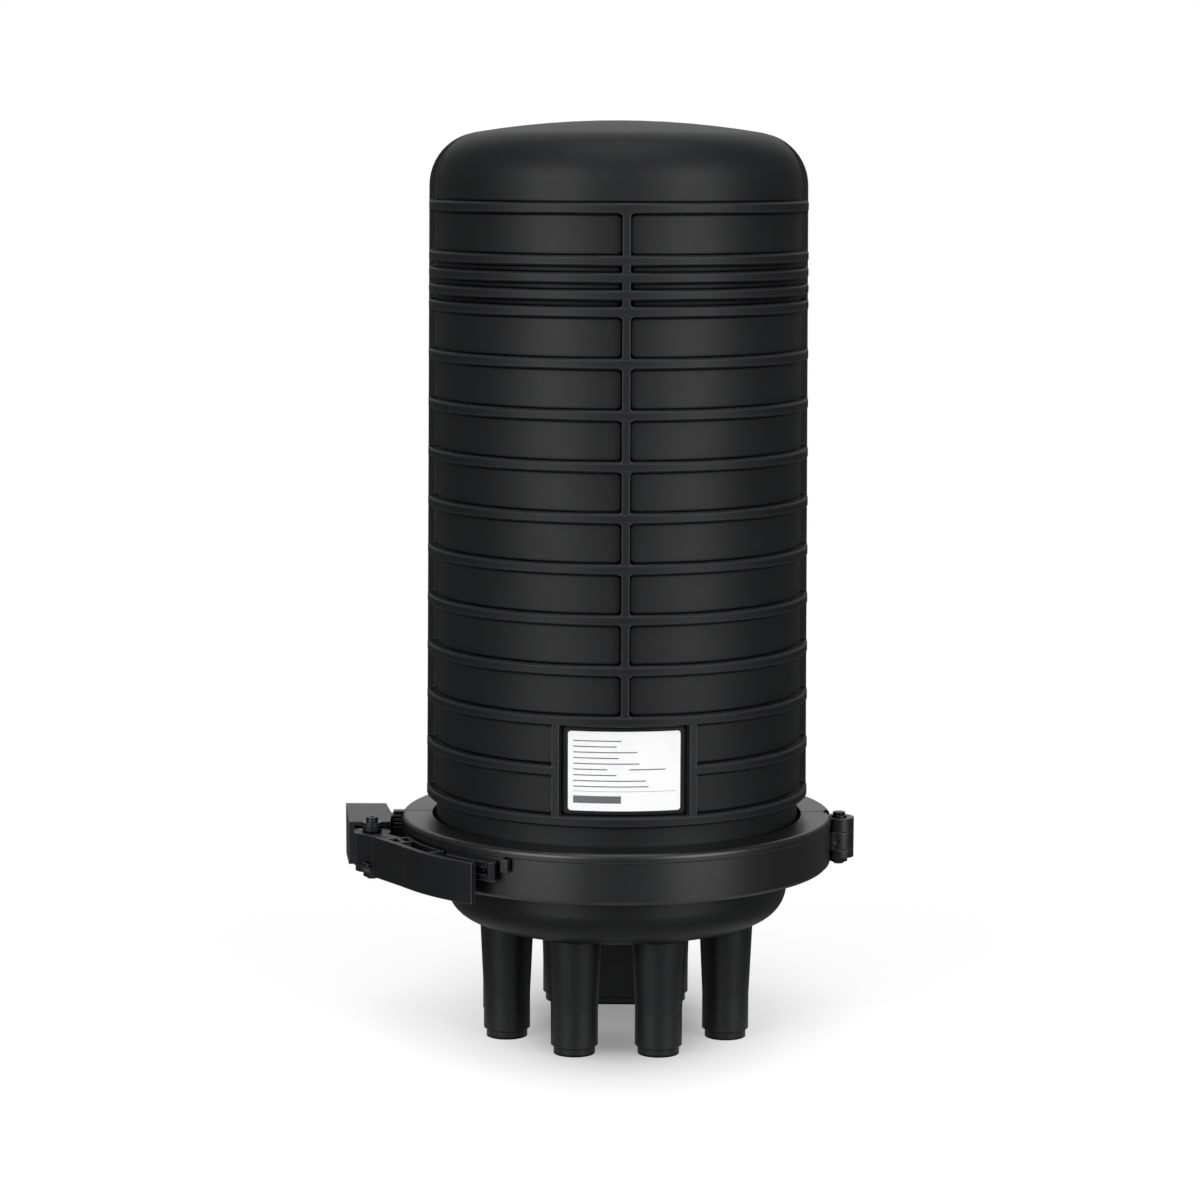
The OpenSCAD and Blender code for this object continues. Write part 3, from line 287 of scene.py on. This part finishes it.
FINISHES = {
    # Glass-filled polypropylene, injection moulded: satin, a fine even grain
    "base_black": Finish(
        "moulded_glass_filled_polypropylene", Look.MOULDED, "#101112", "#151618", 0.42, 0.5, 0.10, 0.7, 0.4,
    ),
    # Polypropylene, injection moulded in one draw: softer satin, faint flow marks
    "dome_black": Finish(
        "moulded_polypropylene", Look.MOULDED, "#101113", "#151618", 0.52, 0.6, 0.08, 0.4,
        crease_shade_mm=2.4, crease_shade_walls=0.0, edge_wear_and_highlight=0.38, edge_wear_and_highlight_mm=1.3,
    ),
    # Glass-filled nylon, injection moulded: glossier, with pale edges, partly rubbed and partly painted
    # highlight
    "clamp_black": Finish(
        "moulded_glass_filled_nylon", Look.MOULDED, "#0d0d0f", "#131416", 0.36, 0.45, 0.14, 0.6, 0.7,
        edge_wear_and_highlight=0.8, edge_wear_and_highlight_mm=0.6,
    ),
    # Glass-filled nylon, injection moulded: edges pale, partly rubbed by handling and partly painted
    # highlight
    "lever_black": Finish(
        "rubbed_and_highlit_glass_filled_nylon", Look.MOULDED, "#111113", "#161719", 0.44, 0.45, 0.12, 0.4,
        edge_wear_and_highlight=1.0, edge_wear_and_highlight_mm=0.6,
    ),
    # Silicone rubber, moulded: dull and deep black
    "seal_rubber": Finish(
        "moulded_silicone_rubber", Look.RUBBER, "#141414", "#1c1c1c", 0.62, 0.4, 0.25, 0.3, 0.3, edge_wear_and_highlight=0.0,
    ),
    # White polyester film, die-cut and blank: smooth and faintly uneven
    "label_film": Finish(
        "die_cut_polyester_film", Look.PRINT, "#ffffff", "#fafafa", 0.42, 0.8, 0.03, 0.1,
    ),
    # Zinc-plated steel, cold-headed: bright with fine turned streaks
    "zinc_steel": Finish(
        "zinc_plated_steel", Look.METAL, "#b9bcc0", "#9b9ea3", 0.30, 0.3, 0.10, 0.25,
    ),
    # Black-zinc steel, cold-headed: dim metal with fine turned streaks
    "dark_steel": Finish(
        "black_zinc_steel", Look.METAL, "#4a4b4e", "#37383b", 0.34, 0.3, 0.12, 0.25,
    ),
    # Stainless sheet, laser-cut and bent: fine rolling streaks
    "sheet_steel": Finish(
        "rolled_stainless_sheet", Look.SHEET, "#c0c3c6", "#a9adb1", 0.28, 0.2, 0.12, 0.2,
    ),
    # ABS, injection moulded: plain satin black
    "carrier_black": Finish(
        "moulded_black_abs", Look.MOULDED, "#1d1e20", "#27282b", 0.45, 0.4, 0.12, 0.3,
    ),
    # Polycarbonate, moulded clear: glossy, slightly wavy
    "clear_cover": Finish(
        "moulded_clear_polycarbonate", Look.CLEAR, "#eef3f6", "#dfe7ec", 0.08, 2.0, 0.02, 0.3,
    ),
    # Nylon hook-and-loop strap, woven: matt crossing yarns
    "strap_fabric": Finish(
        "woven_nylon_strap", Look.FABRIC, "#26272a", "#17181a", 0.85, 0.9, 0.6, 0.2, 0.2,
    ),
    # ABS, injection moulded: pale grey satin
    "tray_grey": Finish(
        "moulded_grey_abs", Look.MOULDED, "#cfd2d4", "#c2c6c9", 0.42, 0.5, 0.08, 0.3, crease_shade=0.2, edge_wear_and_highlight=0.0,
    ),
    # ABS, injection moulded: blue satin
    "holder_blue": Finish(
        "moulded_blue_abs", Look.MOULDED, "#3f77b8", "#366aa8", 0.48, 0.5, 0.08, 0.2, crease_shade=0.3, edge_wear_and_highlight=0.0,
    ),
}


class Finisher:
    """Builds each finish once and hands it out by slot."""

    DRIFT_MM = 60  # slow drift of tone from the flow of the melt
    PATCH_MM = 9  # patches of smoother and rougher skin
    STREAK_MM = 4  # streaks of turning or rolling, drawn coarser than real so that they show
    WAVE_MM = 12  # waviness of clear plastic
    FILM_MM = 14  # unevenness of the printed film
    INK_MM = 0.35  # gaps in the ink
    MOULD_GRAIN_MM = 0.08  # depth of each kind of relief
    METAL_GRAIN_MM = 0.03
    WAVE_DEPTH_MM = 0.2
    WEAVE_DEPTH_MM = 0.3
    FILM_GRAIN_MM = 0.02
    RUBBED_AND_HIGHLIT = "#6a6b70"  # black plastic pale at the edges, partly rubbed and partly painted highlight
    CREASE_SHADE_GREY = 0.0004  # grey level of the painted shade deep in an inner corner
    INK = ("#55575b", "#85878b")
    STREAK_STRETCH = {Look.METAL: (1, 1, 14), Look.SHEET: (14, 1, 1)}  # across the streaks

    def __init__(self) -> None:
        """Start with nothing built."""
        self.made: dict[str, bpy.types.Material] = {}

    def get(self, slot: str) -> bpy.types.Material:
        """Return the material of a slot, building it on first use.

        Args:
            slot: Material slot of the record.

        Returns:
            The slot's material.
        """
        if slot not in self.made:
            finish = FINISHES[slot]
            build = {
                Look.MOULDED: self.moulded,
                Look.RUBBER: self.moulded,
                Look.METAL: self.metal,
                Look.SHEET: self.metal,
                Look.CLEAR: self.clear,
                Look.FABRIC: self.fabric,
                Look.PRINT: self.printed,
            }[finish.look]
            self.made[slot] = build(finish)
        return self.made[slot]

    @staticmethod
    def relief(graph: Graph, finish: Finish, height: object, depth_mm: float) -> bpy.types.NodeSocket:
        """Make the normal that rounds sharp edges and carries the grain.

        Args:
            graph: Material being built.
            finish: Its finish.
            height: Socket with the grain, 0 to 1.
            depth_mm: Depth of the grain.

        Returns:
            The normal's socket.
        """
        rounded = graph.add("Bevel", {"Radius": finish.edge_mm * MM}, samples=6)
        bump = graph.add("Bump", {
            "Strength": finish.grain, "Distance": depth_mm * MM, "Height": height,
            "Normal": rounded.outputs[0],
        })
        return bump.outputs[0]

    @staticmethod
    def creases(graph: Graph, finish: Finish, place: object, shape: object) -> bpy.types.NodeSocket:
        """Find the creases and how much painted shade they take, most of all on faces that look away from
        the closure's axis.

        Args:
            graph: Material being built.
            finish: How it looks.
            place: Socket with the place on the object.
            shape: Socket with the plain normal.

        Returns:
            Share of the painted shade, 0 to 1.
        """
        outward = graph.vector("NORMALIZE", graph.vector("MULTIPLY", place, (1, 1, 0)))
        facing = graph.vector("DOT_PRODUCT", outward, shape)
        takes = graph.maths("MAXIMUM", graph.ramp(facing, [(0.55, 0.0), (0.8, 1.0)]), finish.crease_shade_walls)
        # ambient occlusion decides where shade is painted into the creases
        near = graph.add("AmbientOcclusion", {"Distance": finish.crease_shade_mm * MM}, samples=12).outputs["AO"]
        dark = graph.ramp(near, [(0.68, finish.crease_shade), (0.84, 0.0)])
        return graph.maths("MULTIPLY", dark, takes)

    def moulded(self, finish: Finish) -> bpy.types.Material:
        """Build satin moulded plastic, or rubber: fine grain, drifting tone, painted shade in the creases,
        pale edges that are partly rubbing and partly painted highlight.

        Args:
            finish: How it looks.

        Returns:
            The material.
        """
        graph = Graph.material(finish.name)
        place = graph.add("TexCoord").outputs["Object"]
        drift = graph.ramp(graph.noise(place, self.DRIFT_MM, 3), [(0.35, 0.0), (0.7, 1.0)])
        colour = graph.mix(drift, linear(finish.colour), linear(finish.second))
        patch = graph.maths("MULTIPLY", graph.noise(place, self.PATCH_MM, 4), 0.07)
        rough = graph.maths("ADD", finish.rough - 0.03, patch)
        shape = graph.add("NewGeometry").outputs["Normal"]
        # shut is the share of painted shade in the creases
        shut = self.creases(graph, finish, place, shape)
        # pale edges: partly rubbing, partly a painted highlight along every sharp edge
        rounded = graph.add("Bevel", {"Radius": finish.edge_wear_and_highlight_mm * MM}, samples=4).outputs[0]
        edge = graph.ramp(graph.vector("DOT_PRODUCT", rounded, shape), [(0.8, 1.0), (0.985, 0.0)])
        wear_and_painted_highlight = graph.maths("MULTIPLY", edge, graph.maths("SUBTRACT", 1.0, shut))
        colour = graph.mix(graph.maths("MULTIPLY", wear_and_painted_highlight, finish.edge_wear_and_highlight), colour, linear(self.RUBBED_AND_HIGHLIT))
        grain = graph.noise(place, finish.grain_mm, 2)
        # painted shade: the base colour turns near black and the reflection's tint turns black where shut is
        # high
        shader = graph.add("BsdfPrincipled", {
            "Base Color": graph.mix(shut, colour, grey(self.CREASE_SHADE_GREY)),
            "Roughness": rough,
            "Specular IOR Level": finish.sheen,
            "Specular Tint": graph.mix(shut, grey(1), grey(0)),
            "Normal": self.relief(graph, finish, grain, self.MOULD_GRAIN_MM),
        })
        return graph.finish(shader.outputs[0])

    def metal(self, finish: Finish) -> bpy.types.Material:
        """Build plated or rolled metal with fine streaks.

        Args:
            finish: How it looks.

        Returns:
            The material.
        """
        graph = Graph.material(finish.name)
        place = graph.add("TexCoord").outputs["Object"]
        stretched = graph.add("Mapping", {"Vector": place, "Scale": self.STREAK_STRETCH[finish.look]})
        streak = graph.noise(stretched.outputs[0], self.STREAK_MM, 4)
        fleck = graph.noise(place, finish.grain_mm, 2)
        share = graph.ramp(streak, [(0.35, 0), (0.65, 1)])
        colour = graph.mix(share, linear(finish.colour), linear(finish.second))
        rough = graph.maths("ADD", finish.rough - 0.04, graph.maths("MULTIPLY", streak, 0.12))
        shader = graph.add("BsdfPrincipled", {
            "Base Color": colour, "Metallic": 1.0, "Roughness": rough,
            "Normal": self.relief(graph, finish, fleck, self.METAL_GRAIN_MM),
        })
        return graph.finish(shader.outputs[0])

    def clear(self, finish: Finish) -> bpy.types.Material:
        """Build clear moulded plastic.

        Args:
            finish: How it looks.

        Returns:
            The material.
        """
        graph = Graph.material(finish.name)
        place = graph.add("TexCoord").outputs["Object"]
        wave = graph.noise(place, self.WAVE_MM, 2)
        shader = graph.add("BsdfPrincipled", {
            "Base Color": linear(finish.colour), "Roughness": finish.rough, "Transmission Weight": 0.85,
            "IOR": 1.49, "Normal": self.relief(graph, finish, wave, self.WAVE_DEPTH_MM),
        })
        return graph.finish(shader.outputs[0])

    def fabric(self, finish: Finish) -> bpy.types.Material:
        """Build a woven strap: crossing yarns by two wave patterns.

        Args:
            finish: How it looks.

        Returns:
            The material.
        """
        graph = Graph.material(finish.name)
        place = graph.add("TexCoord").outputs["Object"]
        turn = 2 * math.pi / (finish.grain_mm * MM)
        axes = graph.add("SeparateXYZ", {0: place}).outputs
        along = graph.maths("SINE", graph.maths("MULTIPLY", graph.maths("ADD", axes[0], axes[1]), turn))
        across = graph.maths("SINE", graph.maths("MULTIPLY", axes[2], turn))
        weave = graph.maths("MULTIPLY_ADD", graph.maths("MULTIPLY", along, across), 0.5, 0.5)
        colour = graph.mix(weave, linear(finish.second), linear(finish.colour))
        shader = graph.add("BsdfPrincipled", {
            "Base Color": colour, "Roughness": finish.rough, "Sheen Weight": 0.3,
            "Normal": self.relief(graph, finish, weave, self.WEAVE_DEPTH_MM),
        })
        return graph.finish(shader.outputs[0])

    def ink(self) -> bpy.types.Material:
        """Build the grey ink of the label's bars.

        Returns:
            The material.
        """
        graph = Graph.material("label_ink")
        place = graph.add("TexCoord").outputs["Object"]
        wear_and_painted_highlight = graph.ramp(graph.noise(place, self.INK_MM, 2), [(0.35, 0), (0.75, 1)])
        full, thin = self.INK
        colour = graph.mix(wear_and_painted_highlight, linear(full), linear(thin))
        return graph.finish(graph.add("BsdfPrincipled", {"Base Color": colour, "Roughness": 0.5}).outputs[0])

    def printed(self, finish: Finish) -> bpy.types.Material:
        """Build a blank white film with faint unevenness.

        Args:
            finish: How it looks.

        Returns:
            The material.
        """
        graph = Graph.material(finish.name)
        place = graph.add("TexCoord").outputs["Object"]
        tone = graph.ramp(graph.noise(place, self.FILM_MM, 3), [(0.4, 0), (0.7, 1)])
        colour = graph.mix(tone, linear(finish.colour), linear(finish.second))
        grain = graph.noise(place, finish.grain_mm, 2)
        shader = graph.add("BsdfPrincipled", {
            "Base Color": colour, "Roughness": finish.rough,
            "Normal": self.relief(graph, finish, grain, self.FILM_GRAIN_MM),
        })
        return graph.finish(shader.outputs[0])


# ---------------------------------------------------------------- studio


@dataclass(frozen=True)
class FrontCamera:
    """The camera, seen level with the crown and tilted a little down.

    Attributes:
        place: Where it stands.
        pitch: Tilt below the horizon, in degrees.
        roll: Turn about the line of sight, in degrees.
        field: Angle of view, in degrees.
        sensor_mm: Width of the sensor.
    """

    place: tuple[float, float, float] = (-0.00888, -1.712, 0.4472)
    pitch: float = 7.53
    roll: float = 0.188
    field: float = 20.04
    sensor_mm: float = 36.0

    def make(self) -> bpy.types.Object:
        """Create the camera and make it the scene's own.

        Returns:
            The camera.
        """
        data = bpy.data.cameras.new("camera")
        data.sensor_width = self.sensor_mm
        data.lens = self.sensor_mm / 2 / math.tan(math.radians(self.field) / 2)
        data.clip_start, data.clip_end = 0.05, 100
        camera = bpy.data.objects.new("camera", data)
        bpy.context.collection.objects.link(camera)
        tilt = Matrix.Rotation(math.radians(90 - self.pitch), 4, "X")
        turn = Matrix.Rotation(math.radians(self.roll), 4, "Z")
        camera.matrix_world = Matrix.Translation(self.place) @ tilt @ turn
        bpy.context.scene.camera = camera
        return camera


@dataclass(frozen=True)
class Softbox:
    """One flat studio light.

    Attributes:
        name: Its name.
        azimuth: Where it stands round the object, in degrees from the camera towards +X.
        height: Height of its middle.
        away: Distance from the object.
        size: Width and height.
        power: Watts.
        aim: Height that it points at.
    """

    name: str
    azimuth: float
    height: float
    away: float
    size: tuple[float, float]
    power: float
    aim: float = 0.25

    def make(self) -> None:
        """Create the light."""
        data = bpy.data.lights.new(self.name, "AREA")
        data.shape = "RECTANGLE"
        data.size, data.size_y = self.size
        data.energy = self.power
        angle = math.radians(self.azimuth)
        place = Vector((self.away * math.sin(angle), -self.away * math.cos(angle), self.height))
        light = bpy.data.objects.new(self.name, data)
        light.location = place
        light.rotation_mode = "QUATERNION"
        light.rotation_quaternion = (Vector((0, 0, self.aim)) - place).to_track_quat("-Z", "Y")
        bpy.context.collection.objects.link(light)


class Studio:
    """Floor, surroundings and lights."""

    LIFT = 1.9  # level of the floor's paper where it is seen, so that it stays white round the shadow
    PAPER = 0.45  # level of the floor's paper for the light that it throws on the object
    GLOW = 0.1  # light of the floor on the object
    FAR = 20.0  # distance from the middle of the floor to its sides
    ROOM = 0.16  # light of the room on the object, apart from the softboxes
    BACKDROP = (0.0, 0.8, 0.6)  # direction of the middle of the white sheet behind and over the object
    PAINTED_SHADOW_DEPTH = 0.62  # the painted soft shadow reaches further forwards and back than sideways
    LIGHTS = (
        Softbox("left_box", -39.5, 0.4, 1.7, (1.02, 1.6), 25.5),
        Softbox("right_box", 43.5, 0.4, 1.7, (0.97, 1.6), 24.5),
        Softbox("top_box", 0, 2.4, 0.5, (1.6, 1.6), 15),
    )

    def make(self) -> None:
        """Create the whole studio."""
        self.surroundings()
        self.floor()
        for light in self.LIGHTS:
            light.make()
        settings = bpy.context.scene.view_settings
        settings.view_transform = "Standard"
        settings.look = "None"

    @staticmethod
    def surroundings() -> None:
        """White behind the object, and a dimmer room for its light."""
        world = bpy.data.worlds.new("room")
        bpy.context.scene.world = world
        graph = Graph(world)
        where = graph.add("TexCoord").outputs["Generated"]
        towards = graph.vector("DOT_PRODUCT", where, Studio.BACKDROP)
        sheet = graph.add("MapRange", {"Value": towards, "From Min": 0.8, "From Max": 0.96}).outputs[0]
        room = graph.add("Background", {"Color": grey(1), "Strength": Studio.ROOM})
        white = graph.add("Background", {"Color": grey(1), "Strength": 1.0})
        seen = Studio.seen(graph, sheet)
        mixed = graph.add("MixShader", {0: seen, 1: room.outputs[0], 2: white.outputs[0]})
        graph.add("OutputWorld", {"Surface": mixed.outputs[0]})

    @staticmethod
    def seen(graph: Graph, sheet: object) -> bpy.types.NodeSocket:
        """Pick the rays that show the white background.

        Args:
            graph: Nodes being built.
            sheet: Share of the white that glossy rays show.

        Returns:
            1 for rays straight from the camera or through clear pieces, that share for glossy rays, else 0.
        """
        rays = graph.add("LightPath").outputs
        glossy = graph.maths("MULTIPLY", rays["Is Glossy Ray"], sheet)
        mirrored = graph.maths("MAXIMUM", glossy, rays["Is Transmission Ray"])
        return graph.maths("MAXIMUM", rays["Is Camera Ray"], mirrored)

    @staticmethod
    def floor() -> None:
        """A pale floor that turns into the white surroundings away from the object, with a soft shadow
        painted round the object.
        """
        mesh = bpy.data.meshes.new("floor")
        work = bmesh.new()
        bmesh.ops.create_grid(work, x_segments=1, y_segments=1, size=Studio.FAR)
        work.to_mesh(mesh)
        work.free()
        floor = bpy.data.objects.new("floor", mesh)
        bpy.context.collection.objects.link(floor)
        graph = Graph.material("floor_paper")
        place = graph.add("TexCoord").outputs["Object"]
        away = graph.vector("LENGTH", place)
        near = graph.vector("LENGTH", graph.vector("MULTIPLY", place, (1, Studio.PAINTED_SHADOW_DEPTH, 0)))
        # painted shadow: the floor darkens round the object's foot, on top of its real shadow
        shade = graph.ramp(near, [(0.03, 0.36), (0.05, 0.7), (0.064, 0.82), (0.09, 0.93), (0.13, 1.0)])
        seen = Studio.seen(graph, graph.ramp(away, [(0.08, 0.5), (0.15, 0.0)]))
        level = graph.mix(seen, grey(Studio.PAPER), grey(Studio.LIFT))
        tooth = graph.noise(place, 0.8, 3)
        bump = graph.add("Bump", {"Strength": 0.05, "Distance": 0.0001, "Height": tooth})
        bright = graph.vector("MULTIPLY", level, shade)
        paper = graph.add("BsdfDiffuse", {"Color": bright, "Normal": bump.outputs[0]})
        strength = graph.maths("MULTIPLY_ADD", seen, 1 - Studio.GLOW, Studio.GLOW)
        # the floor's glow carries the painted shadow too
        glow = graph.add("Emission", {"Color": shade, "Strength": strength})
        fade = graph.ramp(away, [(0.12, 0.72), (0.4, 1.0)])
        mixed = graph.add("MixShader", {0: fade, 1: paper.outputs[0], 2: glow.outputs[0]})
        mesh.materials.append(graph.finish(mixed.outputs[0]))


# ---------------------------------------------------------------- the object


@dataclass(frozen=True)
class LabelMarks:
    """Plain grey bars printed on the blank label, in place of any wording.

    Attributes:
        label: CAD node of the label.
        bars: Left edge and width as shares of the label's width, then distance from its top and
            thickness in mm.
        ink_mm: Thickness of the ink, and its height over the film.
        edge_mm: Height of the strips along the label's edges where its radius is measured.
        steps: Number of flat steps that follow the curve across the whole label.
    """

    label: bpy.types.Object
    bars: tuple[tuple[float, float, float, float], ...] = (
        (0.05, 0.42, 4.6, 0.55), (0.05, 0.38, 7.4, 0.55), (0.05, 0.56, 10.2, 0.55),
        (0.05, 0.40, 13.0, 0.55), (0.05, 0.58, 15.8, 0.55), (0.05, 0.30, 18.6, 0.55),
        (0.54, 0.32, 18.6, 0.55), (0.05, 0.38, 21.4, 0.55), (0.05, 0.64, 24.2, 0.55),
        (0.05, 0.66, 27.0, 0.55), (0.05, 0.90, 29.4, 0.18), (0.05, 0.42, 33.4, 3.6),
    )
    ink_mm: float = 0.02
    edge_mm: float = 3.0
    steps: int = 24

    def point(self, share: float, down_mm: float) -> tuple[float, float, float]:
        """Find a point just over the label's face.

        Args:
            share: Place across the label, 0 at its left edge.
            down_mm: Distance below the top edge.

        Returns:
            The point.
        """
        points = [v.co for v in self.label.data.vertices]
        low, high = min(p.z for p in points), max(p.z for p in points)
        angles = [math.atan2(p.y, p.x) for p in points]
        start, end = min(angles), max(angles)
        r_low = max(math.hypot(p.x, p.y) for p in points if p.z < low + self.edge_mm * MM)
        r_high = max(math.hypot(p.x, p.y) for p in points if p.z > high - self.edge_mm * MM)
        height = high - down_mm * MM
        radius = r_low + (r_high - r_low) * (height - low) / (high - low) + self.ink_mm * MM
        angle = start + (end - start) * share
        return (radius * math.cos(angle), radius * math.sin(angle), height)

    def make(self, finisher: "Finisher") -> bpy.types.Object:
        """Create the bars as one piece.

        Args:
            finisher: Source of the ink's material.

        Returns:
            The piece.
        """
        work = bmesh.new()
        for left, width, down, thick in self.bars:
            steps = max(4, round(width * self.steps))
            bar = bmesh.ops.create_grid(work, x_segments=steps, y_segments=1, size=0.5)["verts"]
            for vert in bar:
                share = left + width * (vert.co.x + 0.5)
                vert.co = self.point(share, down - thick * vert.co.y)
        bmesh.ops.solidify(work, geom=work.faces[:], thickness=self.ink_mm * MM)
        bmesh.ops.recalc_face_normals(work, faces=work.faces[:])
        mesh = bpy.data.meshes.new("label_marks")
        work.to_mesh(mesh)
        work.free()
        mesh.materials.append(finisher.ink())
        marks = bpy.data.objects.new("label_marks", mesh)
        bpy.context.collection.objects.link(marks)
        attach(marks, "closure")
        LOG.info("LabelMarks: label_marks, label_film")
        return marks


@dataclass(frozen=True)
class Assembly:
    """One group of the closure's CAD pieces.

    Attributes:
        members: Starts of the names of the nodes that belong to it.
        sharp: Angle between faces that stays sharp, in degrees.
    """

    members: tuple[str, ...] = ()
    sharp: float = 28.0

    def build(self, frame: dict, finisher: Finisher) -> None:
        """Give each of the group's nodes its slot's finish, and smooth shading between sharp edges.

        Args:
            finisher: Source of the materials.
        """
        for part in frame["record"]["subparts"]:
            if not part["node"].startswith(self.members):
                continue
            piece = frame["nodes"][part["node"]]
            piece.data.materials.clear()
            piece.data.materials.append(finisher.get(part["material_slot"]))
            for face in piece.data.polygons:
                face.use_smooth = True
            piece.data.set_sharp_from_angle(angle=math.radians(self.sharp))
            LOG.info("%s: %s, %s", type(self).__name__, part["node"], part["material_slot"])


@dataclass(frozen=True)
class Shell(Assembly):
    """Dome with its label, base with its cable ports, and the seal between them."""

    members: tuple[str, ...] = ("base", "seal_ring", "dome", "label")


@dataclass(frozen=True)
class Clamp(Assembly):
    """The two halves of the clamp ring and their hinge."""

    members: tuple[str, ...] = ("clamp_", "hinge_")


@dataclass(frozen=True)
class Latch(Assembly):
    """Lever and link that pull the clamp shut, with their bolt and pin."""

    members: tuple[str, ...] = ("latch_", "lever_", "link_")


@dataclass(frozen=True)
class InnerFrame(Assembly):
    """Steel frame inside the dome, with the slack basket and the cable anchors."""

    members: tuple[str, ...] = (
        "support_", "plate_", "inner_", "frame_", "storage_", "basket_", "anchor_", "cable_",
    )


@dataclass(frozen=True)
class TrayStack(Assembly):
    """Splice trays with their holders, carrier, cover and strap."""

    members: tuple[str, ...] = ("tray_", "carrier_", "splice_")


def main() -> None:
    """Build the scene."""
    logging.basicConfig(level=logging.INFO)
    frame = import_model()
    FrontCamera().make()
    Studio().make()
    finisher = Finisher()
    for group in (Shell(), Clamp(), Latch(), InnerFrame(), TrayStack()):
        group.build(frame, finisher)
    LabelMarks(frame["nodes"]["label"]).make(finisher)
    LOG.info("closure dressed: %d nodes", len(frame["nodes"]))


if __name__ == "__main__":
    main()
